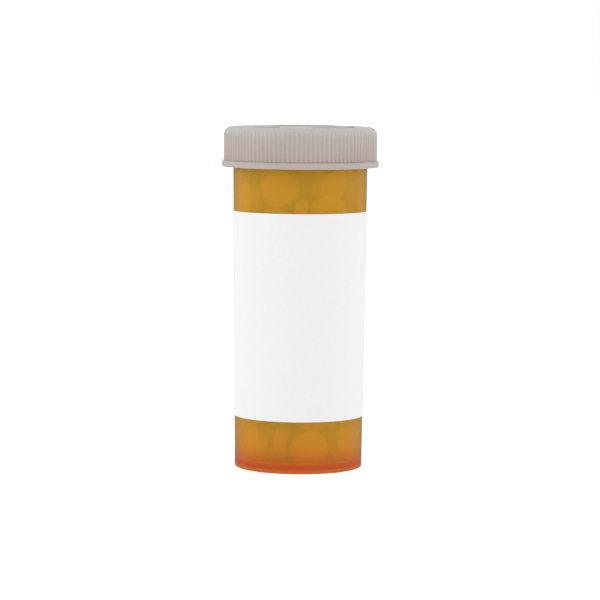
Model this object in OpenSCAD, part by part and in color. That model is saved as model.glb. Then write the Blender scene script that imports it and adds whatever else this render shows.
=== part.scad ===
// Prescription vial with a push-down-and-turn cap, filled with round tablets.
// The origin is the centre of the base, on the surface that the vial stands on. +Z is up and -Y is
// the front of the label. Places round the vial are degrees from the front, growing to the right.
// The model is drawn with the cap pressed down and its lugs in the entry gaps between the vial's
// lugs, which is the one place where it can be lifted, turned or let spring up.

/* [Vial] */
// Outer diameter of the vial at the neck, just under the cap
vial_neck_d = 34.9; // [32:0.1:38]
// Outer diameter of the vial at its base
vial_base_d = 33.2; // [31:0.1:34.9]
// Thickness of the vial's wall
vial_wall = 1.1; // [0.9:0.05:1.3]
// Thickness of the floor above the standing plane
floor_t = 1.55; // [1.2:0.05:2]
// Depth of the hollow under the base
base_hollow = 0.35; // [0.2:0.05:0.6]
// Corner radius round the foot
foot_r = 0.4; // [0.2:0.1:0.8]
// Fillet between the floor and the wall
floor_fillet = 0.8; // [0.4:0.1:1.2]

/* [Cap] */
// Height of the closed vial, with the cap on
closed_h = 88.9; // [86:0.1:95]
// Height of the cap from its rim to its top
cap_h = 10.6; // [10:0.1:11]
// Diameter over the cap's ribs
cap_d = 39.9; // [39.7:0.1:41]
// Diameter of the plain band round the cap's rim
band_d = 40.7; // [40.5:0.1:42]
// Height of the plain band
band_h = 1.65; // [1.2:0.05:2]
// Radius of the cap's shoulder
shoulder_r = 2.1; // [1.5:0.1:3]
// Bore of the cap
cap_bore_d = 37.5; // [37.4:0.1:37.8]
// Number of grip ribs
rib_count = 105; // [80:1:120]
// Depth of the grooves between the ribs
rib_depth = 0.3; // [0.1:0.05:0.4]

/* [Closure] */
// Number of lugs on the vial, and on the cap
lug_count = 6; // [4:1:6]
// Spring travel of the cap, from pressed down to let go
press_travel = 1; // [0.8:0.1:1]
// Turn of the cap between its entry gap and its notch
lock_turn = 36; // [34:1:36]
// Thickness of the sealing disc
seal_t = 0.9; // [0.6:0.1:0.9]
// Thickness of the spring disc when it is pressed flat
spring_t = 0.9; // [0.6:0.1:0.9]

/* [Label] */
// Lower edge of the label above the standing plane
label_low = 13.5; // [5:0.1:20]
// Height of the label
label_h = 53.4; // [40:0.1:60]
// How far the label goes round the vial
label_wrap = 300; // [200:5:340]
// Thickness of the label
label_t = 0.12; // [0.08:0.01:0.2]

/* [Tablets] */
// Diameter of a tablet
tablet_d = 9.3; // [8.5:0.1:9.3]
// Thickness of a tablet over its domed faces
tablet_t = 4; // [3:0.1:4]
// Height of the straight edge round a tablet
tablet_edge = 2.8; // [2:0.1:3]

/* [Hidden] */
$fn = 96;
FRONT = -90;
neck_r = vial_neck_d / 2;
base_r = vial_base_d / 2;
vial_h = closed_h - 3.3;
cap_low = closed_h - cap_h;
mouth_r = neck_r - vial_wall;
bore_r = cap_bore_d / 2;

// Closure heights, all worked out from the rim of the cap and the rim of the vial
cap_top_face = closed_h - 0.2;
roof_low = closed_h - 1.3;
lug_reach = 1.1;
lug_low = cap_low - 0.6;
ridge_low = cap_low + 1.3;
notch_top = ridge_low + press_travel;
lug_top = notch_top + 1.7;
cap_lug_low = cap_low + 0.15;
cap_lug_h = 0.9;
face_gap = 0.05;
seal_low = vial_h + face_gap;
spring_low = seal_low + seal_t + face_gap;

// Closure places round the vial, in degrees
lug_pitch = 360 / lug_count;
stop_span = 3;
notch_end = 22;
lug_span = 36;
lug_start = FRONT - 6.5;
cap_lug_span = 16;
cap_lug_start = lug_start + stop_span + 1 + lock_turn;

// Tablets
tablet_r = tablet_d / 2;
crown_h = (tablet_t - tablet_edge) / 2;
crown_r = (tablet_r * tablet_r + crown_h * crown_h) / (2 * crown_h);
stack_gap = 0.2;
lower_tiers = 4;
lower_top = floor_t + 0.1 + lower_tiers * (tablet_d + stack_gap) - stack_gap;
core_r = 5.6;
core_pitch = 4.3;
core_low = floor_t + tablet_t / 2 + 0.25;

// Standing tablets in the lower half, one row a column: place round the vial, turn away from
// facing straight out, sideways lean, how far the top tips inwards, and how far the lowest one
// sits above the floor
LOWER = [
    [-62, -3, 0, 14, 0],
    [-22, 107, -12, 0, 2.7],
    [12.5, 0, 0, 0, 0],
    [60, 3, 0, 14, 0],
    [106, -3, 0, 0, 0],
    [152, 3, 0, 0, 0],
    [198, -2, 0, 0, 0],
    [245, 3, 0, 0, 0]
];

// Standing tablets in the upper half, one row a column: place, turn, lean, tip, and the height of
// the topmost tablet's centre
UPPER = [
    [-27, 2, 0, 0, 63.6],
    [31.5, -2, 0, 0, 66.8],
    [83, 3, 0, 0, 71],
    [129, -3, 0, 0, 72.9],
    [175, 3, 0, 0, 73],
    [211, 86, 8, 0, 73.1],
    [247, -3, 0, 0, 73],
    [292, 2, 0, 0, 70]
];

// Tablets lying flat in the middle, in columns: how many each column holds
CORE = [17, 16, 14];

// Tablets on top of the heap: place, distance from the axis, height, and tilts from lying flat
CROWN = [
    [-22, 13.05, 73.2, 0, 88],
    [1.6, 11.3, 65.6, 90, 0],
    [43, 11.1, 74, 0, 110],
    [-89, 5.8, 74, 25, 0]
];

LOWER_NODES = [for (i = [1:len(LOWER)]) str("tablets_lower_", i)];
UPPER_NODES = [for (i = [1:len(UPPER)]) str("tablets_upper_", i)];
CORE_NODES = [for (k = [1:max(CORE)]) str("tablets_core_", k < 10 ? "0" : "", k)];

// Radius of the vial's outside at height z: it tapers from the neck to the base
function outer_r(z) = base_r + (neck_r - base_r) * min(z, cap_low) / cap_low;

// Radius of the vial's inside at height z
function inner_r(z) = outer_r(z) - vial_wall;

// Points on an arc, from angle a0 to a1
function arc(centre, r, a0, a1, steps = 6) =
    [
        for (i = [0:steps])
            let(a = a0 + (a1 - a0) * i / steps)
                centre + r * [cos(a), sin(a)]
    ];

// A value between -1 and 1 that looks random and is the same each time
function wobble(i, j, k) = sin(137.5 * i + 71.3 * j + 211.7 * k);

// Half the height of a standing tablet that leans or tips by an angle
function half_height(slant) = tablet_r * cos(slant) + tablet_edge / 2 * sin(abs(slant));

// Distance from the axis at which a standing tablet rests on the wall
function seat_r(z, turn, tip) =
    let(
        facing = abs(cos(turn)),
        depth = tablet_r * abs(sin(turn)) + tablet_edge / 2 * facing,
        wide = tablet_r * facing,
        wall = inner_r(z - tablet_r) - 0.12
    )
    sqrt(wall * wall - wide * wide) - depth - 0.3 * tablet_r * sin(tip);

// A block that follows an arc round the axis, from the profile given as its child
module round_block(start, span)
    rotate([0, 0, start])
        rotate_extrude(angle = span)
            children();

// ---- Vial ----

module vial_shape() {
    rim_r = vial_wall * 0.3;
    rotate_extrude()
        polygon(concat(
            [[0, base_hollow], [base_r - 2.6, base_hollow], [base_r - 2.2, 0]],
            arc([base_r - foot_r, foot_r], foot_r, -90, 0),
            [[neck_r, cap_low]],
            arc([neck_r - rim_r, vial_h - rim_r], rim_r, 0, 90),
            arc([mouth_r + rim_r, vial_h - rim_r], rim_r, 90, 180),
            [[mouth_r, cap_low]],
            arc([inner_r(0) - floor_fillet, floor_t + floor_fillet], floor_fillet, 0, -90),
            [[0, floor_t]]
        ));
}

// One lug: a stop at one end, a notch that holds the cap's lug, and a ridge that keeps it there
module vial_lug(start) {
    root = neck_r - 0.2;
    tip = neck_r + lug_reach;
    difference() {
        round_block(start, lug_span)
            polygon([
                [root, lug_low],
                [tip - 0.4, lug_low],
                [tip, lug_low + 0.4],
                [tip, lug_top - 0.8],
                [root, lug_top]
            ]);
        // The way in, under the ridge
        round_block(start + stop_span, lug_span)
            translate([root - 1, lug_low - 1])
                square([3, ridge_low - lug_low + 1]);
        // The notch
        round_block(start + stop_span, notch_end - stop_span)
            translate([root - 1, lug_low - 1])
                square([3, notch_top - lug_low + 1]);
    }
}

module vial_body()
    color("#c4761c")
        union() {
            vial_shape();
            for (i = [0:lug_count - 1])
                vial_lug(lug_start + i * lug_pitch);
        }

module label()
    color("#efefef")
        round_block(FRONT - label_wrap / 2, label_wrap)
            polygon([
                [outer_r(label_low) + 0.02, label_low],
                [outer_r(label_low) + 0.02 + label_t, label_low],
                [outer_r(label_low + label_h) + 0.02 + label_t, label_low + label_h],
                [outer_r(label_low + label_h) + 0.02, label_low + label_h]
            ]);

// ---- Cap and the two discs inside it ----

module cap_skin() {
    skin_r = cap_d / 2 - rib_depth - 0.05;
    band_r = band_d / 2;
    rotate_extrude()
        polygon(concat(
            [[0, roof_low], [bore_r - 0.4, roof_low], [bore_r, roof_low - 0.4]],
            [[bore_r, cap_low], [band_r, cap_low], [band_r, cap_low + band_h - 0.2]],
            [[band_r - 0.2, cap_low + band_h], [skin_r, cap_low + band_h]],
            arc([skin_r - shoulder_r, cap_top_face - shoulder_r], shoulder_r, 0, 90, 8),
            [[0, cap_top_face]]
        ));
}

// The ribs are one ring with a scalloped outside, cut off where the shoulder starts
module cap_ribs() {
    crest_r = cap_d / 2;
    steps = rib_count * 4;
    rib_top = cap_top_face - shoulder_r;
    difference() {
        translate([0, 0, cap_low + band_h - 0.1])
            linear_extrude(height = rib_top - cap_low - band_h + 0.1)
                polygon([
                    for (i = [0:steps - 1])
                        let(a = 360 * i / steps, r = crest_r - rib_depth * (1 - cos(rib_count * a)) / 2)
                            [r * cos(a), r * sin(a)]
                ]);
        translate([0, 0, cap_low])
            cylinder(h = cap_h, r = crest_r - rib_depth - 0.3);
    }
}

// A raised arrow that shows which way the cap turns to open
module turn_arrow(start) {
    mid_r = 12;
    half_w = 0.9;
    low = cap_top_face - 0.1;
    high = closed_h - low;
    round_block(start, 62)
        translate([mid_r - half_w, low])
            square([2 * half_w, high]);
    rotate([0, 0, start + 61])
        translate([mid_r, 0, low])
            linear_extrude(height = high)
                polygon([[-2.2, 0], [2.2, 0], [0.2, 3.6]]);
}

module cap_shell()
    color("#e6e3df")
        union() {
            cap_skin();
            cap_ribs();
            for (i = [0:2])
                turn_arrow(FRONT + 15 + i * 120);
            for (i = [0:lug_count - 1])
                round_block(cap_lug_start + i * lug_pitch, cap_lug_span)
                    translate([neck_r + 0.2, cap_lug_low])
                        square([bore_r - neck_r, cap_lug_h]);
            // The bead that keeps the spring disc in the cap
            rotate_extrude()
                polygon([
                    [bore_r + 0.1, spring_low - press_travel - 0.6],
                    [neck_r + 0.3, spring_low - press_travel - 0.3],
                    [neck_r + 0.3, spring_low - press_travel - 0.15],
                    [bore_r + 0.1, spring_low - press_travel - 0.05]
                ]);
        }

module spring_disc()
    color("#dcd8d0")
        difference() {
            translate([0, 0, spring_low])
                cylinder(h = spring_t, r = bore_r - 0.5);
            for (i = [0:5])
                round_block(i * 60, 42)
                    translate([6.5, spring_low - 1])
                        square([7, spring_t + 2]);
        }

module seal_disc()
    color("#f2f0ea")
        union() {
            translate([0, 0, seal_low])
                cylinder(h = seal_t, r = neck_r + 0.05);
            difference() {
                translate([0, 0, seal_low - 0.9])
                    cylinder(h = 1, r = mouth_r - 0.6);
                translate([0, 0, seal_low - 2])
                    cylinder(h = 2, r = mouth_r - 1.6);
            }
        }

// ---- Tablets ----

// A round tablet with domed faces, its axis along Z
module tablet()
    color("#f0e8d4")
        rotate_extrude()
            intersection() {
                translate([0, -tablet_t / 2])
                    square([tablet_r, tablet_t]);
                translate([0, tablet_t / 2 - crown_r])
                    circle(r = crown_r);
                translate([0, crown_r - tablet_t / 2])
                    circle(r = crown_r);
            }

// A tablet that stands on its edge at one place round the vial
module standing_tablet(place, r, z, turn, lean, tip)
    rotate([0, 0, FRONT + place])
        translate([r, 0, z])
            rotate([lean, -tip, 0])
                rotate([0, 0, turn])
                    rotate([0, 90, 0])
                        tablet();

// A column of standing tablets, each turned and moved a little from the one below
module column(row, lowest, count, seed) {
    pitch = 2 * half_height(row[2] + row[3]) + stack_gap;
    for (j = [0:count - 1]) {
        place = row[0] + 0.8 * wobble(seed, j, 2);
        z = lowest + j * pitch;
        turn = row[1] + 2 * wobble(seed, j, 1);
        standing_tablet(place, seat_r(z, turn, row[3]), z, turn, row[2], row[3]);
    }
}

module lower_column(i) {
    row = LOWER[i];
    half = half_height(row[2] + row[3]);
    lowest = floor_t + 0.1 + half + row[4];
    count = floor((lower_top - lowest - half) / (2 * half + stack_gap) + 0.001) + 1;
    column(row, lowest, count, i);
}

module upper_column(i) {
    row = UPPER[i];
    half = half_height(row[2] + row[3]);
    pitch = 2 * half + stack_gap;
    count = floor((row[4] - half - lower_top) / pitch) + 1;
    column(row, row[4] - (count - 1) * pitch, count, i + 10);
}

// Tablets lying side by side in the middle, each with a slight tilt of its own. Their columns leave
// room between them for the standing tablets that are turned edge-on.
module core_layer(k) {
    z = core_low + k * core_pitch;
    first = z < lower_top ? LOWER[1][0] + 54 : UPPER[5][0] - 60;
    for (c = [0:len(CORE) - 1])
        if (k < CORE[c])
            rotate([0, 0, FRONT + first + c * 120])
                translate([core_r, 0, z])
                    rotate([5 * wobble(c, k, 5), 5 * wobble(c, k, 6), 0])
                        tablet();
}

module tablets_crown()
    for (row = CROWN)
        rotate([0, 0, FRONT + row[0]])
            translate([row[1], 0, row[2]])
                rotate([row[3], row[4], 0])
                    tablet();

vial_body();
cap_shell();
spring_disc();
seal_disc();
label();
tablets_crown();
for (i = [0:len(LOWER) - 1])
    lower_column(i);
for (i = [0:len(UPPER) - 1])
    upper_column(i);
for (k = [0:max(CORE) - 1])
    core_layer(k);
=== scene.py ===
import math
import random

import bmesh
import bpy
import numpy as np
from mathutils import Matrix, Vector


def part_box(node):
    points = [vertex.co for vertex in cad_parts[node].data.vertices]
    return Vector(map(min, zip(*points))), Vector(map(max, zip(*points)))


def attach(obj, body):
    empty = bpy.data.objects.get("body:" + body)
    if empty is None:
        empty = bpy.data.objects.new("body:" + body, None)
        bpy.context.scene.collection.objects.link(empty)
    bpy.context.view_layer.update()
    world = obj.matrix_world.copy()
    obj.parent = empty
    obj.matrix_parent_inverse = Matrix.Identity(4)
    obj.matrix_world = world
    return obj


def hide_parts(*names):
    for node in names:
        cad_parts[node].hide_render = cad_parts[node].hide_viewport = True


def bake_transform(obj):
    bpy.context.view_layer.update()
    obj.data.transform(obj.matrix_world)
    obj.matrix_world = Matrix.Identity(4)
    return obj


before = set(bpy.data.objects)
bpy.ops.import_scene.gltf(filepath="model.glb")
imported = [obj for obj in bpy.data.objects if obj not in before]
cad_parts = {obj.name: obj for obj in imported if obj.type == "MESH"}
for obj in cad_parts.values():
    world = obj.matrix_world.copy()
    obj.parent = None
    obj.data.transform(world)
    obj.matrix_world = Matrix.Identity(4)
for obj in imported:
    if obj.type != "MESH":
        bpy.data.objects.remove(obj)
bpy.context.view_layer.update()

MM = 0.001
FRONT = -90.0
scene = bpy.context.scene


# ---------------------------------------------------------------- measures taken from the frame

def node_points(node):
    """The corners of a CAD node's mesh, as an array of x, y, z."""
    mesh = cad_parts[node].data
    co = np.zeros(len(mesh.vertices) * 3, np.float32)
    mesh.vertices.foreach_get("co", co)
    return co.reshape(-1, 3).astype(float)


def radius_in(node, low, high, pick=np.max):
    """The largest (or smallest) distance from the axis of a node's corners between two heights."""
    co = node_points(node)
    inside = (co[:, 2] >= low) & (co[:, 2] <= high)
    return float(pick(np.hypot(co[inside, 0], co[inside, 1])))


VIAL_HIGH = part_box("vial_body")[1]
CAP_LOW, CAP_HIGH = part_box("cap_shell")
LABEL_LOW, LABEL_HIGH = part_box("label")
SEAL_LOW, SEAL_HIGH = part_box("seal_disc")
SPRING_LOW, SPRING_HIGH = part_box("spring_disc")

VIAL_TOP = VIAL_HIGH.z
CAP_Z = CAP_LOW.z
CAP_TOP = CAP_HIGH.z
NECK_R = radius_in("vial_body", VIAL_TOP - 0.6 * MM, VIAL_TOP - 0.3 * MM)
BASE_R = radius_in("vial_body", 0.3 * MM, 0.5 * MM)
LUG_TIP_R = VIAL_HIGH.x
BAND_R = CAP_HIGH.x
WALL = 1.1 * MM


def outer_r(z):
    """The vial's outside radius at a height."""
    return BASE_R + (NECK_R - BASE_R) * min(z, CAP_Z) / CAP_Z


# ---------------------------------------------------------------- small mesh helpers

def polar(r, deg):
    """A point in the XY plane from its distance and its angle."""
    return (r * math.cos(math.radians(deg)), r * math.sin(math.radians(deg)))


def arc(cx, cz, r, a0, a1, steps):
    """Points on an arc in the radius-height plane."""
    points = []
    for i in range(steps + 1):
        along, up = polar(r, a0 + (a1 - a0) * i / steps)
        points.append((cx + along, cz + up))
    return points


def stretch(p, q, steps):
    """Points along a straight line, without its first point."""
    return [
        (p[0] + (q[0] - p[0]) * i / steps, p[1] + (q[1] - p[1]) * i / steps)
        for i in range(1, steps + 1)
    ]


def link_object(name, mesh, sharp_deg=None):
    """A smooth-shaded object of a mesh, with edges sharper than sharp_deg kept crisp."""
    mesh.shade_smooth()
    if sharp_deg is not None:
        mesh.set_sharp_from_angle(angle=math.radians(sharp_deg))
    obj = bpy.data.objects.new(name, mesh)
    scene.collection.objects.link(obj)
    return obj


def new_object(name, verts, faces, sharp_deg=None):
    """A mesh object from its corners and faces."""
    mesh = bpy.data.meshes.new(name)
    mesh.from_pydata([tuple(v) for v in verts], [], faces)
    mesh.validate()
    return link_object(name, mesh, sharp_deg)


def new_solid(name, verts, faces, sharp_deg):
    """A closed mesh object whose faces all point outwards."""
    obj = new_object(name, verts, faces, sharp_deg)
    bm = bmesh.new()
    bm.from_mesh(obj.data)
    bmesh.ops.recalc_face_normals(bm, faces=bm.faces)
    bm.to_mesh(obj.data)
    bm.free()
    return obj


def lathe(profile, columns, shift=None, first_deg=0.0):
    """Vertices and faces of a profile turned round the Z axis. A profile point on the axis becomes
    one vertex. shift(r, z, degrees, row) may move a point's radius."""
    verts, rows = [], []
    for k, (r, z) in enumerate(profile):
        if r < 1e-9:
            rows.append([len(verts)])
            verts.append((0.0, 0.0, z))
            continue
        row = []
        for i in range(columns):
            deg = first_deg + 360.0 * i / columns
            rr = r if shift is None else shift(r, z, deg, k)
            row.append(len(verts))
            verts.append((*polar(rr, deg), z))
        rows.append(row)
    faces = []
    for a, b in zip(rows, rows[1:]):
        for i in range(columns):
            j = (i + 1) % columns
            if len(a) == 1:
                faces.append((a[0], b[j], b[i]))
            elif len(b) == 1:
                faces.append((a[i], a[j], b[0]))
            else:
                faces.append((a[i], a[j], b[j], b[i]))
    return verts, faces


def inset(outline, by):
    """The outline moved inwards by a distance."""
    pts = np.array(outline)
    before, after = np.roll(pts, 1, axis=0), np.roll(pts, -1, axis=0)
    along = after - before
    normal = np.stack([-along[:, 1], along[:, 0]], axis=1)
    normal /= np.linalg.norm(normal, axis=1)[:, None]
    area = np.sum(pts[:, 0] * after[:, 1] - after[:, 0] * pts[:, 1])
    return pts + normal * by * (1 if area > 0 else -1)


def swept(name, outline, z0, z1, bevel):
    """A closed outline in the XY plane raised from z0 to z1, with its top edge rounded."""
    n = len(outline)
    rings = [(1.0, z0), (1.0, z1 - bevel), (0.5, z1 - bevel * 0.3), (0.0, z1)]
    inward = inset(outline, bevel)
    verts = []
    for share, z in rings:
        for p, q in zip(outline, inward):
            verts.append((q[0] + (p[0] - q[0]) * share, q[1] + (p[1] - q[1]) * share, z))
    faces = []
    for k in range(len(rings) - 1):
        for i in range(n):
            j = (i + 1) % n
            faces.append((k * n + i, k * n + j, (k + 1) * n + j, (k + 1) * n + i))
    faces.append(tuple((len(rings) - 1) * n + i for i in range(n)))
    faces.append(tuple(reversed(range(n))))
    return new_solid(name, verts, faces, 40)


def joined(name, parts):
    """One object from several."""
    with bpy.context.temp_override(active_object=parts[0], object=parts[0], selected_objects=parts,
                                   selected_editable_objects=parts):
        bpy.ops.object.join()
    parts[0].name = name
    parts[0].data.name = name
    return parts[0]


# ---------------------------------------------------------------- materials

class Nodes:
    """A short way to write a material's node tree."""

    def __init__(self, name):
        self.mat = bpy.data.materials.new(name)
        self.mat.use_nodes = True
        self.tree = self.mat.node_tree
        self.bsdf = self.tree.nodes["Principled BSDF"]
        self.out = self.tree.nodes["Material Output"]

    def add(self, kind, **values):
        """A new node, with its properties set."""
        node = self.tree.nodes.new(kind)
        for key, value in values.items():
            setattr(node, key, value)
        return node

    def link(self, a, b):
        """Links an output to an input."""
        self.tree.links.new(a, b)

    def feed(self, source, name):
        """Links an output to one of the shader's inputs."""
        self.link(source, self.bsdf.inputs[name])

    def set(self, **values):
        """Sets the shader's inputs. An underscore stands for a space."""
        for key, value in values.items():
            self.bsdf.inputs[key.replace("_", " ")].default_value = value

    def coords(self):
        """A point's place in the frame."""
        return self.add("ShaderNodeTexCoord").outputs["Object"]

    def split(self):
        """The outputs X, Y and Z of a point's place."""
        node = self.add("ShaderNodeSeparateXYZ")
        self.link(self.coords(), node.inputs[0])
        return node.outputs

    def noise(self, scale, detail=3.0, rough=0.5):
        """Soft random values from 0 to 1."""
        n = self.add("ShaderNodeTexNoise")
        n.inputs["Scale"].default_value = scale
        n.inputs["Detail"].default_value = detail
        n.inputs["Roughness"].default_value = rough
        self.link(self.coords(), n.inputs["Vector"])
        return n.outputs["Fac"]

    def ramp(self, value, stops):
        """A colour for each value. A stop is a value and its colour or grey."""
        r = self.add("ShaderNodeValToRGB")
        fill(r.color_ramp, stops)
        self.link(value, r.inputs["Fac"])
        return r.outputs["Color"]

    def band(self, value, at_zero, at_one):
        """0 where the value is at_zero, growing to 1 where it is at_one."""
        r = self.add("ShaderNodeMapRange")
        r.inputs["From Min"].default_value = at_zero
        r.inputs["From Max"].default_value = at_one
        self.link(value, r.inputs["Value"])
        return r.outputs[0]

    def mixed(self, factor, a, b, kind="RGBA", how="MIX"):
        """A mix of two colours or numbers, each one a value or another node's output."""
        n = self.add("ShaderNodeMix", data_type=kind)
        if kind == "RGBA":
            n.blend_type = how
        ports = [i for i in n.inputs if i.enabled and i.name in "AB"]
        ports += [i for i in n.inputs if i.enabled and i.name == "Factor"]
        for port, value in zip(ports, (a, b, factor)):
            if isinstance(value, bpy.types.NodeSocket):
                self.link(value, port)
            else:
                port.default_value = value
        return [o for o in n.outputs if o.enabled][0]

    def bump(self, height, strength, distance):
        """Small bumps in the surface, from a value."""
        b = self.add("ShaderNodeBump")
        b.inputs["Strength"].default_value = strength
        b.inputs["Distance"].default_value = distance
        self.link(height, b.inputs["Height"])
        self.feed(b.outputs["Normal"], "Normal")


def fill(ramp, stops):
    """Gives a colour ramp its stops."""
    while len(ramp.elements) < len(stops):
        ramp.elements.new(0.5)
    for element, (at, colour) in zip(ramp.elements, stops):
        element.position = at
        rgb = colour if isinstance(colour, tuple) else (colour, colour, colour)
        element.color = (*rgb, 1.0)


# The amber's colour by height, as a share of AMBER_SPAN. Painted light piped through the thick
# floor gives an orange foot and a darker red ring beside it, then clear amber. The inside has a
# painted red glow just over the floor.
AMBER_SPAN = 60 * MM
AMBER_CLEAR = [(0.16, (0.93, 0.58, 0.039)), (1.0, (0.945, 0.625, 0.042))]
AMBER_OUTSIDE_WITH_PAINTED_GLOW = [
    (0.013, (0.60, 0.16, 0.024)),
    (0.022, (0.54, 0.088, 0.022)),
    (0.036, (0.58, 0.095, 0.024)),
    (0.055, (0.88, 0.37, 0.028)),
    (0.105, (0.92, 0.52, 0.036)),
] + AMBER_CLEAR
AMBER_INSIDE_WITH_PAINTED_GLOW = [
    (0.028, (0.78, 0.11, 0.018)),
    (0.060, (0.86, 0.19, 0.024)),
    (0.105, (0.90, 0.43, 0.032)),
] + AMBER_CLEAR
AMBER_GRAIN = [(0.3, (0.96, 0.94, 0.8)), (0.7, 1.0)]
AMBER_ROUGHNESS = [(0.3, 0.10), (0.7, 0.15)]
AMBER_DEPTH = (0.93, 0.45, 0.05, 1)
AMBER_DENSITY = 380.0
LAMP_TINT = (1.0, 0.965, 0.58, 1)
WALL_CLARITY = 0.72
FOOT_CLARITY = 0.22
CLEAR_FROM = 3.2 * MM
FOOT_TOP_OUTSIDE = 2.0 * MM
FOOT_TOP_INSIDE = 1.7 * MM


def outer_face(m, place):
    """1 on the outside of the vial's wall, and 0 on its inside and on its floor."""
    flat = m.add("ShaderNodeCombineXYZ")
    m.link(place["X"], flat.inputs["X"])
    m.link(place["Y"], flat.inputs["Y"])
    reach = m.add("ShaderNodeVectorMath", operation="LENGTH")
    m.link(flat.outputs[0], reach.inputs[0])
    return m.band(reach.outputs["Value"], BASE_R - 0.7 * WALL, BASE_R - 0.3 * WALL)


def amber_glass_rules(m):
    """Lamps shine through the amber on to the tablets, and light reddens on a long way through."""
    clear = m.add("ShaderNodeBsdfTransparent")
    clear.inputs["Color"].default_value = LAMP_TINT
    path = m.add("ShaderNodeLightPath")
    mix = m.add("ShaderNodeMixShader")
    m.link(path.outputs["Is Shadow Ray"], mix.inputs[0])
    m.link(m.bsdf.outputs[0], mix.inputs[1])
    m.link(clear.outputs[0], mix.inputs[2])
    m.link(mix.outputs[0], m.out.inputs["Surface"])
    depth = m.add("ShaderNodeVolumeAbsorption")
    depth.inputs["Color"].default_value = AMBER_DEPTH
    depth.inputs["Density"].default_value = AMBER_DENSITY
    m.link(depth.outputs[0], m.out.inputs["Volume"])


def amber_plastic():
    """Amber moulded plastic with a slight haze that is cloudier at the floor, with painted red
    light piped through the thick floor.
    """
    m = Nodes("amber_plastic")
    m.set(IOR=1.49, Specular_IOR_Level=0.14)
    place = m.split()
    outside = outer_face(m, place)
    up = m.band(place["Z"], 0.0, AMBER_SPAN)
    # painted light: the red-orange foot and the inner red glow stand in for light piped through
    # the floor
    amber_with_painted_glow = m.mixed(outside, m.ramp(up, AMBER_INSIDE_WITH_PAINTED_GLOW), m.ramp(up, AMBER_OUTSIDE_WITH_PAINTED_GLOW))
    grain = m.ramp(m.noise(scale=45), AMBER_GRAIN)
    m.feed(m.mixed(1.0, amber_with_painted_glow, grain, how="MULTIPLY"), "Base Color")
    foot_out = m.band(place["Z"], CLEAR_FROM, FOOT_TOP_OUTSIDE)
    foot_in = m.band(place["Z"], CLEAR_FROM, FOOT_TOP_INSIDE)
    foot = m.mixed(outside, foot_in, foot_out, "FLOAT")
    m.feed(m.mixed(foot, WALL_CLARITY, FOOT_CLARITY, "FLOAT"), "Transmission Weight")
    m.feed(m.ramp(m.noise(scale=180, detail=4), AMBER_ROUGHNESS), "Roughness")
    m.bump(m.noise(scale=55, detail=2), strength=0.15, distance=0.2 * MM)
    amber_glass_rules(m)
    return m.mat


# The cap's colour from its rim up to its top, with painted light: a warmer, darker skirt for amber
# light glowing through, and a lighter top
CAP_COLOURS_WITH_PAINTED_LIGHT = [
    (0.0, (0.45, 0.40, 0.374)),
    (0.35, (0.47, 0.388, 0.355)),
    (0.75, (0.46, 0.425, 0.388)),
    (1.0, (0.515, 0.51, 0.482)),
]


def cap_plastic():
    """White moulded plastic with a fine grain. Its colour holds painted light: the skirt is
    painted warmer and darker where amber light glows through, and the top lighter."""
    m = Nodes("cap_plastic")
    m.set(Specular_IOR_Level=0.35)
    # painted light: a warmer skirt for amber light glowing through, and a lighter top
    cap_tone_and_painted_glow = m.ramp(m.band(m.split()["Z"], CAP_Z, CAP_TOP), CAP_COLOURS_WITH_PAINTED_LIGHT)
    grain = m.ramp(m.noise(scale=60, detail=4), [(0.3, 0.95), (0.7, 1.0)])
    m.feed(m.mixed(1.0, cap_tone_and_painted_glow, grain, how="MULTIPLY"), "Base Color")
    m.feed(m.ramp(m.noise(scale=400), [(0.3, 0.36), (0.7, 0.5)]), "Roughness")
    m.bump(m.noise(scale=2200), strength=0.12, distance=0.03 * MM)
    return m.mat


def disc_plastic(name, low, high, grain):
    """Matt plastic or foam that varies between two colours, with a grain of a given fineness."""
    m = Nodes(name)
    m.set(Roughness=0.55)
    m.feed(m.ramp(m.noise(scale=300), [(0.3, low), (0.7, high)]), "Base Color")
    m.bump(m.noise(scale=grain, detail=4), strength=0.3, distance=0.05 * MM)
    return m.mat


def label_paper():
    """Uncoated label paper with fine fibres."""
    m = Nodes("label_paper")
    m.set(Roughness=0.7, Specular_IOR_Level=0.35)
    fibre = m.noise(scale=900, detail=6, rough=0.65)
    m.feed(m.ramp(fibre, [(0.25, (0.765, 0.765, 0.77)), (0.75, 0.79)]), "Base Color")
    m.bump(m.noise(scale=2500, detail=5, rough=0.7), strength=0.25, distance=0.02 * MM)
    return m.mat


TABLET_COLOURS = [
    (0.25, (0.84, 0.82, 0.72)),
    (0.6, (0.90, 0.89, 0.81)),
    (0.85, (0.93, 0.925, 0.87)),
]


def tablet_powder():
    """Pressed off-white powder with faint specks and a chalky surface."""
    m = Nodes("tablet_powder")
    m.set(Roughness=0.6, Specular_IOR_Level=0.3)
    m.feed(m.ramp(m.noise(scale=700, detail=5, rough=0.6), TABLET_COLOURS), "Base Color")
    m.bump(m.noise(scale=3500, detail=4, rough=0.7), strength=0.35, distance=0.04 * MM)
    return m.mat


# ---------------------------------------------------------------- the vial

FLOOR = 1.55 * MM
FLOOR_FILLET = 0.8 * MM
BASE_HOLLOW = 0.35 * MM
HOLLOW_INSET, STAND_INSET = 2.6 * MM, 2.2 * MM
FOOT_R = 0.4 * MM
RIM_R = 0.3 * WALL
VIAL_COLUMNS = 720

LUGS = 6
LUG_PITCH = 360.0 / LUGS
LUG_SPAN, STOP_SPAN, NOTCH_END = 36.0, 3.0, 22.0
LUG_START = FRONT - 6.5
LUG_LOW = CAP_Z - 0.6 * MM
RIDGE_LOW = CAP_Z + 1.3 * MM
NOTCH_TOP = RIDGE_LOW + 1.0 * MM
LUG_TOP = NOTCH_TOP + 1.7 * MM
HAIR = 0.02 * MM


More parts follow.
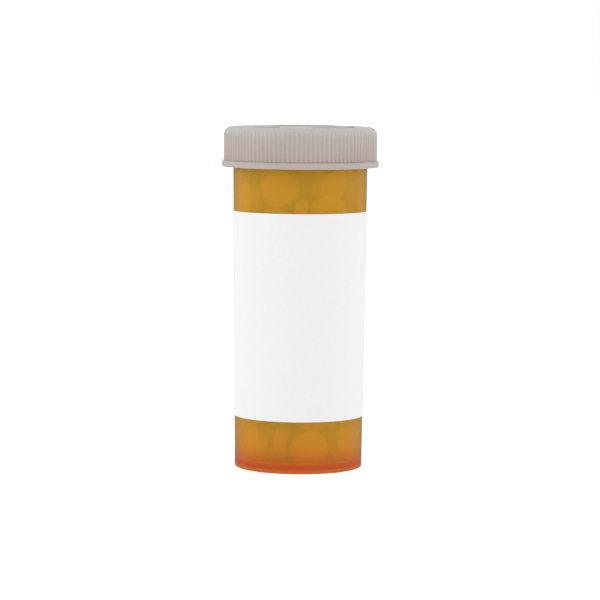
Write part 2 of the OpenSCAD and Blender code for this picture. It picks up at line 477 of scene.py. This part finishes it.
def lug_height(deg, z):
    """How far the vial's lugs stand out at an angle and a height, from 0 to 1."""
    at = (deg - LUG_START) % LUG_PITCH
    if at > LUG_SPAN:
        return 0.0
    if at < STOP_SPAN:
        low = LUG_LOW
    elif at < NOTCH_END:
        low = NOTCH_TOP
    else:
        low = RIDGE_LOW
    if z <= low or z >= LUG_TOP:
        return 0.0
    slope_top = min(1.0, (LUG_TOP - z) / (0.8 * MM))
    slope_low = 1.0 if at >= STOP_SPAN else min(1.0, 0.65 + (z - low) / (1.15 * MM))
    return min(slope_top, slope_low)


def vial_outside():
    """The vial's outline from the middle of the underside, up the outside, to the rim."""
    hollow_r, stand_r = BASE_R - HOLLOW_INSET, BASE_R - STAND_INSET
    levels = []
    for z in (LUG_LOW, RIDGE_LOW, NOTCH_TOP):
        levels += [z - HAIR, z + HAIR]
    levels += [NOTCH_TOP + 0.9 * MM, LUG_TOP - 0.4 * MM, LUG_TOP]
    out = [(0.0, BASE_HOLLOW)]
    out += stretch((0.0, BASE_HOLLOW), (hollow_r, BASE_HOLLOW), 3)
    out += stretch((hollow_r, BASE_HOLLOW), (stand_r, 0.0), 3)
    out += stretch((stand_r, 0.0), (BASE_R - FOOT_R, 0.0), 3)
    out += arc(BASE_R - FOOT_R, FOOT_R, FOOT_R, -90, 0, 8)[1:]
    out += [(outer_r(z), z) for z in np.linspace(FOOT_R * 2, LUG_LOW - 0.5 * MM, 12)]
    out += [(outer_r(z), z) for z in levels]
    return out + arc(NECK_R - RIM_R, VIAL_TOP - RIM_R, RIM_R, 0, 90, 6)


def vial_inside():
    """The vial's outline from the rim, down the inside, to the middle of the floor."""
    wall_low = FLOOR + FLOOR_FILLET * 1.2
    fillet_r = BASE_R - WALL - FLOOR_FILLET
    out = arc(NECK_R - WALL + RIM_R, VIAL_TOP - RIM_R, RIM_R, 90, 180, 6)[1:]
    out += [(outer_r(z) - WALL, z) for z in np.linspace(VIAL_TOP - 1 * MM, wall_low, 12)]
    out += arc(fillet_r, FLOOR + FLOOR_FILLET, FLOOR_FILLET, 0, -90, 8)
    return out + stretch((fillet_r, FLOOR), (0.0, FLOOR), 4)


def make_vial():
    """The amber body, with its six lugs raised from the wall."""
    profile = vial_outside() + vial_inside()
    top = max(range(len(profile)), key=lambda k: profile[k][1])

    def shift(r, z, deg, k):
        if k > top or z < LUG_LOW - 0.1 * MM:
            return r
        return r + (LUG_TIP_R - NECK_R) * lug_height(deg, z)

    verts, faces = lathe(profile, VIAL_COLUMNS, shift, LUG_START - 0.25)
    obj = new_solid("vial_wall", verts, faces, 38)
    obj.data.materials.append(amber_plastic())
    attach(obj, "vial")
    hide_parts("vial_body")


# ---------------------------------------------------------------- the cap

CAP_FACE = CAP_TOP - 0.2 * MM
ROOF = CAP_TOP - 1.3 * MM
ROOF_FILLET = 0.4 * MM
BORE_R = 18.75 * MM
DISH = 0.12 * MM
DISH_R, DISH_SLOPE = 16.9 * MM, 0.5 * MM
SHOULDER = 2.1 * MM
CREST_R = BAND_R - 0.4 * MM
SKIRT_LEAN = 0.04 * MM
BAND_H = 1.65 * MM
BAND_TOP_R, BAND_LOW_R = 0.25 * MM, 0.2 * MM

RIBS = 105
RIB_COLUMNS = 12
RIB_DEPTH = 0.3 * MM
RIB_FADE, RIB_FADE_POWER = 1.9 * MM, 1.3
RIB_POWER = 1.4

ARROWS = 3
ARROW_START = FRONT + 15
ARROW_SPAN, ARROW_TIP = 62.0, 17
ARROW_MID, ARROW_HALF, ARROW_HEAD = 12 * MM, 0.9 * MM, 2.2 * MM

CAP_LUG_START = LUG_START + LUG_SPAN + 4
CAP_LUG_SPAN = 16.0


def cap_outside():
    """The cap's outline from the middle of its dished top, over the shoulder, to the band."""
    side = CREST_R
    dished = CAP_FACE - DISH
    out = [(0.0, dished)]
    out += stretch(out[-1], (DISH_R - DISH_SLOPE, dished), 4)
    out += stretch(out[-1], (DISH_R, CAP_FACE), 3)
    out += stretch(out[-1], (side - SHOULDER, CAP_FACE), 2)
    out += arc(side - SHOULDER, CAP_FACE - SHOULDER, SHOULDER, 90, 0, 14)[1:]
    skirt_low = (side - SKIRT_LEAN, CAP_Z + BAND_H + 0.06 * MM)
    out += stretch((side, CAP_FACE - SHOULDER), skirt_low, 4)
    out += arc(BAND_R - BAND_TOP_R, CAP_Z + BAND_H - BAND_TOP_R, BAND_TOP_R, 90, 0, 4)
    return out + arc(BAND_R - BAND_LOW_R, CAP_Z + BAND_LOW_R, BAND_LOW_R, 0, -90, 4)


def cap_inside():
    """The cap's outline from its rim, up the bore, to the middle of the roof."""
    out = arc(BORE_R + BAND_LOW_R, CAP_Z + BAND_LOW_R, BAND_LOW_R, -90, -180, 4)
    out += stretch((BORE_R, CAP_Z + BAND_LOW_R), (BORE_R, ROOF - ROOF_FILLET), 3)
    out += arc(BORE_R - ROOF_FILLET, ROOF - ROOF_FILLET, ROOF_FILLET, 0, 90, 4)
    return out + stretch((BORE_R - ROOF_FILLET, ROOF), (0.0, ROOF), 3)


def cap_skin():
    """The ribbed shell. The grooves between its ribs fade out over the shoulder."""
    profile = cap_outside() + cap_inside()
    last_side = max(
        k for k, (r, z) in enumerate(profile)
        if abs(r - CREST_R) < 0.2 * MM and r < BAND_R - 0.3 * MM
    )
    fade_z = CAP_FACE - SHOULDER

    def shift(r, z, deg, k):
        if k > last_side or r < CREST_R - 1.2 * MM:
            return r
        over = (z - fade_z) / RIB_FADE
        fade = 1.0 if over <= 0 else max(0.0, 1.0 - over) ** RIB_FADE_POWER
        wave = 0.5 - 0.5 * math.cos(math.radians(deg * RIBS))
        return r - RIB_DEPTH * fade * wave ** RIB_POWER

    verts, faces = lathe(profile, RIBS * RIB_COLUMNS, shift)
    return new_solid("cap", verts, faces, 50)


def turn_arrow(start):
    """A raised curved arrow that shows which way the cap turns to open."""
    steps = 24
    turns = [start + ARROW_SPAN * i / steps for i in range(steps + 1)]
    outline = [polar(ARROW_MID + ARROW_HALF, deg) for deg in turns]
    outline.append(polar(ARROW_MID + ARROW_HEAD, start + ARROW_SPAN))
    outline.append(polar(ARROW_MID + 0.1 * MM, start + ARROW_SPAN + ARROW_TIP))
    outline.append(polar(ARROW_MID - ARROW_HEAD, start + ARROW_SPAN))
    outline += [polar(ARROW_MID - ARROW_HALF, deg) for deg in reversed(turns)]
    return swept("turn_arrow", outline, CAP_FACE - 0.3 * MM, CAP_TOP, 0.1 * MM)


def cap_lug(start):
    """One of the lugs inside the cap's skirt."""
    steps = 10
    turns = [start + CAP_LUG_SPAN * i / steps for i in range(steps + 1)]
    outline = [polar(BORE_R + 0.2 * MM, deg) for deg in turns]
    outline += [polar(NECK_R + 0.2 * MM, deg) for deg in reversed(turns)]
    return swept("cap_lug", outline, CAP_Z + 0.15 * MM, CAP_Z + 1.05 * MM, 0.12 * MM)


def disc_bead():
    """The bead that keeps the spring disc in the cap."""
    z = SPRING_LOW.z - 1.0 * MM
    root, tip = BORE_R + 0.1 * MM, NECK_R + 0.3 * MM
    ring = [
        (root, z - 0.6 * MM),
        (tip, z - 0.3 * MM),
        (tip, z - 0.15 * MM),
        (root, z - 0.05 * MM),
    ]
    verts, faces = lathe(ring + [ring[0]], 180)
    return new_solid("disc_bead", verts, faces, 30)


def make_cap():
    """The cap in one piece: its shell, turn arrows, lugs and bead."""
    parts = [cap_skin()]
    for i in range(ARROWS):
        parts.append(turn_arrow(ARROW_START + 360 / ARROWS * i))
    for i in range(LUGS):
        parts.append(cap_lug(CAP_LUG_START + LUG_PITCH * i))
    parts.append(disc_bead())
    cap = joined("cap", parts)
    cap.data.materials.clear()
    cap.data.materials.append(cap_plastic())
    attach(cap, "cap")
    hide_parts("cap_shell")


# ---------------------------------------------------------------- the sealing disc

SEAL_EDGE = 0.12 * MM
SEAL_PLUG = 0.9 * MM
FOAM_LOW, FOAM_HIGH = (0.82, 0.81, 0.77), (0.88, 0.87, 0.84)


def make_seal():
    """The soft disc on the vial's rim, with a plug ring that reaches into the mouth."""
    r, plug_out, plug_in = SEAL_HIGH.x, NECK_R - WALL - 0.6 * MM, NECK_R - WALL - 1.6 * MM
    low, top, plug = SEAL_LOW.z + SEAL_PLUG, SEAL_HIGH.z, SEAL_LOW.z
    b = SEAL_EDGE
    out = [(0.0, low)]
    out += stretch((0, low), (plug_in, low), 6)
    out += [(plug_in, plug + b), (plug_in + b, plug)]
    out += [(plug_out - b, plug), (plug_out, plug + b), (plug_out, low)]
    out += [(r - b, low), (r, low + b), (r, top - b), (r - b, top)]
    out += stretch((r - b, top), (0.0, top), 6)
    verts, faces = lathe(out, 240)
    obj = new_solid("seal", verts, faces, 50)
    obj.data.materials.append(disc_plastic("seal_foam", FOAM_LOW, FOAM_HIGH, 1500))
    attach(obj, "seal")
    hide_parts("seal_disc")


# ---------------------------------------------------------------- the spring disc

HUB_R, RING_R = 6.5 * MM, 13.5 * MM
SPRING_RADII = [0.0, 3 * MM, HUB_R, 8.5 * MM, 10.5 * MM, RING_R, 15.5 * MM, SPRING_HIGH.x]
SPRING_COLUMNS = 360
SPRING_LAYERS = 4
WINDOW_PITCH, WINDOW_SPAN = 60, 42
SPRING_WHITE_LOW, SPRING_WHITE_HIGH = (0.76, 0.75, 0.72), (0.83, 0.82, 0.79)


def spring_solid(k, i):
    """Whether ring k of the disc has material at column i. The windows leave six spokes."""
    window = HUB_R <= SPRING_RADII[k] and SPRING_RADII[k + 1] <= RING_R + 1e-9
    return not (window and (360 * (i + 0.5) / SPRING_COLUMNS) % WINDOW_PITCH < WINDOW_SPAN)


def spring_corners(bm):
    """The disc's corners: layers from the bottom up, each with rows from the axis outwards."""
    layers = []
    for z in np.linspace(SPRING_LOW.z, SPRING_HIGH.z, SPRING_LAYERS):
        rows = [[bm.verts.new((0, 0, z))]]
        for r in SPRING_RADII[1:]:
            turns = [360 * i / SPRING_COLUMNS for i in range(SPRING_COLUMNS)]
            rows.append([bm.verts.new((*polar(r, deg), z)) for deg in turns])
        layers.append(rows)
    return layers


def spring_face(bm, rows, k, i, flip):
    """One piece of the disc's upper or lower face."""
    j = (i + 1) % SPRING_COLUMNS
    a, b = rows[k], rows[k + 1]
    corners = [a[0], b[i], b[j]] if k == 0 else [a[i], b[i], b[j], a[j]]
    bm.faces.new(corners[::-1] if flip else corners)


def spring_edges(bm, lo, hi, k, i):
    """The upright faces round one piece of the disc, on the sides where it has no neighbour."""
    j = (i + 1) % SPRING_COLUMNS
    if k > 0 and not spring_solid(k, j):
        bm.faces.new([lo[k][j], lo[k + 1][j], hi[k + 1][j], hi[k][j]])
    if k > 0 and not spring_solid(k, i - 1):
        bm.faces.new([lo[k + 1][i], lo[k][i], hi[k][i], hi[k + 1][i]])
    if k + 1 == len(SPRING_RADII) - 1 or not spring_solid(k + 1, i):
        bm.faces.new([lo[k + 1][i], lo[k + 1][j], hi[k + 1][j], hi[k + 1][i]])
    if k > 0 and not spring_solid(k - 1, i):
        bm.faces.new([lo[k][j], lo[k][i], hi[k][i], hi[k][j]])


def spring_mesh():
    """A flat disc with a hub, six spokes and a ring."""
    bm = bmesh.new()
    layers = spring_corners(bm)
    cells = [
        (k, i) for k in range(len(SPRING_RADII) - 1) for i in range(SPRING_COLUMNS)
        if spring_solid(k, i)
    ]
    for rows, flip in ((layers[0], True), (layers[-1], False)):
        for k, i in cells:
            spring_face(bm, rows, k, i, flip)
    for lo, hi in zip(layers, layers[1:]):
        for k, i in cells:
            spring_edges(bm, lo, hi, k, i)
    loose = [v for v in bm.verts if not v.link_faces]
    bmesh.ops.delete(bm, geom=loose, context="VERTS")
    bmesh.ops.recalc_face_normals(bm, faces=bm.faces)
    mesh = bpy.data.meshes.new("spring")
    bm.to_mesh(mesh)
    bm.free()
    return mesh


def make_spring():
    """The spring disc."""
    obj = link_object("spring", spring_mesh(), 40)
    plastic = disc_plastic("spring_plastic", SPRING_WHITE_LOW, SPRING_WHITE_HIGH, 900)
    obj.data.materials.append(plastic)
    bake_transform(obj)
    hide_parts("spring_disc")


# ---------------------------------------------------------------- the label

LABEL_COLUMNS, LABEL_ROWS = 240, 48
LABEL_CORNER = 1.6 * MM


def label_side(wrap, lift):
    """The corners of one side of the sheet, column by column, with its four corners rounded."""
    low, high = LABEL_LOW.z, LABEL_HIGH.z
    verts = []
    for i in range(LABEL_COLUMNS + 1):
        u = i / LABEL_COLUMNS
        deg = FRONT - wrap / 2 + wrap * u
        from_end = min(u, 1 - u) * math.radians(wrap) * BASE_R
        cut = 0.0
        if from_end < LABEL_CORNER:
            cut = LABEL_CORNER - math.sqrt(LABEL_CORNER ** 2 - (LABEL_CORNER - from_end) ** 2)
        for j in range(LABEL_ROWS + 1):
            z = low + cut + (high - low - 2 * cut) * j / LABEL_ROWS
            verts.append((*polar(outer_r(z) + lift, deg), z))
    return verts


def label_faces():
    """The faces of both sides of the sheet and of its edge."""
    tall = LABEL_ROWS + 1
    n = (LABEL_COLUMNS + 1) * tall
    faces = []
    for i in range(LABEL_COLUMNS):
        for j in range(LABEL_ROWS):
            a = i * tall + j
            b = a + tall
            faces.append((a, b, b + 1, a + 1))
            faces.append((n + a + 1, n + b + 1, n + b, n + a))
    border = [i * tall for i in range(LABEL_COLUMNS + 1)]
    border += [LABEL_COLUMNS * tall + j for j in range(1, tall)]
    border += [i * tall + LABEL_ROWS for i in range(LABEL_COLUMNS - 1, -1, -1)]
    border += list(range(LABEL_ROWS - 1, 0, -1))
    for a, b in zip(border, border[1:] + border[:1]):
        faces.append((b, a, n + a, n + b))
    return faces


def make_label():
    """A thin sheet wrapped round the taper."""
    co = node_points("label")
    at = np.degrees(np.arctan2(co[:, 1], co[:, 0]))
    wrap = 2 * np.max(np.abs((at - FRONT + 180) % 360 - 180))
    low = LABEL_LOW.z
    r_in = radius_in("label", low - MM, low + 0.01 * MM, np.min) - outer_r(low)
    r_out = radius_in("label", low - MM, low + 0.01 * MM) - outer_r(low)
    verts = label_side(wrap, r_out) + label_side(wrap, r_in)
    obj = new_solid("label_sheet", verts, label_faces(), 50)
    obj.data.materials.append(label_paper())
    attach(obj, "vial")
    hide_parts("label")


# ---------------------------------------------------------------- tablets

TABLET_R = 4.65 * MM
TABLET_HALF = 2.0 * MM
TABLET_EDGE = 1.4 * MM
TABLET_SOFT = 0.22 * MM
TABLET_RINGS = 8
TABLET_COLUMNS = 56
TABLET_SEED = 11


def tablet_outline():
    """A tablet's outline: domed face, softened edge, straight side, and the same below."""
    bulge = TABLET_HALF - TABLET_EDGE
    sphere = (TABLET_R ** 2 + bulge ** 2) / (2 * bulge)
    pts = [(0.0, TABLET_HALF)]
    for i in range(1, TABLET_RINGS + 1):
        r = (TABLET_R - TABLET_SOFT) * i / TABLET_RINGS
        pts.append((r, TABLET_HALF - sphere + math.sqrt(sphere ** 2 - r ** 2)))
    pts += arc(TABLET_R - TABLET_SOFT, pts[-1][1] - TABLET_SOFT * 0.8, TABLET_SOFT, 70, 0, 4)
    return pts + [(r, -z) for r, z in reversed(pts)]


def islands(obj):
    """The separate solids of a CAD node's mesh, as arrays of corners."""
    bm = bmesh.new()
    bm.from_mesh(obj.data)
    bmesh.ops.remove_doubles(bm, verts=bm.verts, dist=1e-6)
    seen, found = set(), []
    for start in bm.verts:
        if start.index in seen:
            continue
        todo, group = [start], []
        seen.add(start.index)
        while todo:
            v = todo.pop()
            group.append(tuple(v.co))
            for e in v.link_edges:
                w = e.other_vert(v)
                if w.index not in seen:
                    seen.add(w.index)
                    todo.append(w)
        found.append(np.array(group))
    bm.free()
    return found


def tablet_place(points):
    """The centre and the axis of a tablet, from its corners."""
    centre = points.mean(0)
    _, _, axes = np.linalg.svd(points - centre)
    axis = axes[2]
    along = (points - centre) @ axis
    centre = centre + axis * (along.max() + along.min()) / 2
    return Vector(centre), Vector(axis).normalized()


def make_tablets():
    """A finer tablet in the place of each CAD tablet, with one piece for each CAD node."""
    base, faces = lathe(tablet_outline(), TABLET_COLUMNS)
    material = tablet_powder()
    rng = random.Random(TABLET_SEED)
    for node in sorted(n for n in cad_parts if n.startswith("tablets")):
        verts, all_faces = [], []
        for points in islands(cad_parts[node]):
            centre, axis = tablet_place(points)
            turn = Matrix.Rotation(rng.uniform(0, math.tau), 3, "Z")
            pose = axis.to_track_quat("Z", "Y").to_matrix() @ turn
            first = len(verts)
            verts += [tuple(centre + pose @ Vector(v)) for v in base]
            all_faces += [tuple(first + i for i in f) for f in faces]
        obj = new_solid(node + "_fine", verts, all_faces, 60)
        obj.data.materials.append(material)
        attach(obj, "vial")
        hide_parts(node)


# ---------------------------------------------------------------- floor, light and camera

CAMERA_BACK = 0.720
CAMERA_HIGH = 0.1068
CAMERA_ROLL = 0.45
CAMERA_AIM = (0.00018, 0.0, 0.0435)
CLIP_NEAR, CLIP_FAR = 0.05, 20
FOCAL_PIXELS = 2769.0
FRAME_PIXELS = 600.0
SENSOR = 36.0

FLOOR_HALF = 6.0
FLOOR_GREY = (0.5, 0.5, 0.5, 1)
FLOOR_GLOW = 0.8
WHITE = (1, 1, 1, 1)

LAMP_AT, LAMP_AIM = (-0.75, -0.35, 0.35), (0, 0, 0.045)
LAMP_SIZE = (0.5, 0.6)
LAMP_POWER = 0.3

# Shares of the surrounding light, from the front (0) to the back (1) and from below (0) to
# above (1)
WORLD_POWER = 1.43
WORLD_BACKWARDS = [(0.0, 0.62), (0.45, 0.95), (0.7, 1.0), (0.86, 0.85), (0.94, 0.6)]
WORLD_UPWARDS = [(0.48, 0.3), (0.52, 1.0), (0.62, 0.94), (0.8, 0.8), (0.95, 0.72)]


def make_camera():
    """The camera, in front of the vial and above it, looking slightly down."""
    data = bpy.data.cameras.new("camera")
    data.sensor_width = SENSOR
    data.lens = FOCAL_PIXELS / FRAME_PIXELS * SENSOR
    data.clip_start, data.clip_end = CLIP_NEAR, CLIP_FAR
    cam = bpy.data.objects.new("camera", data)
    scene.collection.objects.link(cam)
    cam.location = (0, -CAMERA_BACK, CAMERA_HIGH)
    aim = Vector(CAMERA_AIM) - cam.location
    roll = Matrix.Rotation(math.radians(CAMERA_ROLL), 4, "Z")
    turn = aim.to_track_quat("-Z", "Y").to_matrix().to_4x4() @ roll
    cam.matrix_world = Matrix.Translation(cam.location) @ turn
    scene.camera = cam


def side_lamp():
    """A large soft lamp at the left."""
    data = bpy.data.lights.new("left", "AREA")
    data.shape = "RECTANGLE"
    data.size, data.size_y = LAMP_SIZE
    data.energy = LAMP_POWER
    obj = bpy.data.objects.new("left", data)
    scene.collection.objects.link(obj)
    obj.location = LAMP_AT
    aim = Vector(LAMP_AIM) - Vector(LAMP_AT)
    obj.rotation_euler = aim.to_track_quat("-Z", "Y").to_euler()


def world_share(tree, direction, stops):
    """The share of the light by one part of its direction, which runs from -1 to 1."""
    along = tree.nodes.new("ShaderNodeMapRange")
    along.inputs["From Min"].default_value = -1.0
    tree.links.new(direction, along.inputs["Value"])
    ramp = tree.nodes.new("ShaderNodeValToRGB")
    fill(ramp.color_ramp, stops)
    tree.links.new(along.outputs[0], ramp.inputs["Fac"])
    return ramp.outputs["Color"]


def world_strength(tree):
    """The strength of the surrounding light by its direction."""
    coords = tree.nodes.new("ShaderNodeTexCoord")
    split = tree.nodes.new("ShaderNodeSeparateXYZ")
    tree.links.new(coords.outputs["Generated"], split.inputs[0])
    product = tree.nodes.new("ShaderNodeMath")
    product.operation = "MULTIPLY"
    backwards = world_share(tree, split.outputs["Y"], WORLD_BACKWARDS)
    upwards = world_share(tree, split.outputs["Z"], WORLD_UPWARDS)
    tree.links.new(backwards, product.inputs[0])
    tree.links.new(upwards, product.inputs[1])
    power = tree.nodes.new("ShaderNodeMath")
    power.operation = "MULTIPLY"
    power.inputs[1].default_value = WORLD_POWER
    tree.links.new(product.outputs[0], power.inputs[0])
    return power.outputs[0]


def world_light():
    """Soft white light, strongest from the sides and near the horizon and weak from below, as in
    a light tent. The camera sees plain white."""
    world = bpy.data.worlds.new("world")
    world.use_nodes = True
    tree = world.node_tree
    shine = tree.nodes["Background"]
    shine.inputs["Color"].default_value = WHITE
    tree.links.new(world_strength(tree), shine.inputs["Strength"])
    white = tree.nodes.new("ShaderNodeBackground")
    white.inputs["Color"].default_value = WHITE
    path = tree.nodes.new("ShaderNodeLightPath")
    mix = tree.nodes.new("ShaderNodeMixShader")
    tree.links.new(path.outputs["Is Camera Ray"], mix.inputs[0])
    tree.links.new(shine.outputs[0], mix.inputs[1])
    tree.links.new(white.outputs[0], mix.inputs[2])
    tree.links.new(mix.outputs[0], tree.nodes["World Output"].inputs["Surface"])
    scene.world = world


def make_floor():
    """A plain white floor that glows a little, so that it stays white up to the vial's foot."""
    paper = Nodes("floor_paper")
    paper.set(Base_Color=FLOOR_GREY, Roughness=0.9, Specular_IOR_Level=0.2)
    paper.set(Emission_Color=WHITE, Emission_Strength=FLOOR_GLOW)
    s = FLOOR_HALF
    verts = [(-s, -s, 0), (s, -s, 0), (s, s, 0), (-s, s, 0)]
    floor = new_object("floor", verts, [(0, 1, 2, 3)])
    floor.data.materials.append(paper.mat)
    floor.visible_glossy = False
    floor.visible_transmission = False


make_camera()
make_floor()
world_light()
side_lamp()
scene.view_settings.view_transform = "Standard"
make_vial()
make_cap()
make_seal()
make_spring()
make_label()
make_tablets()
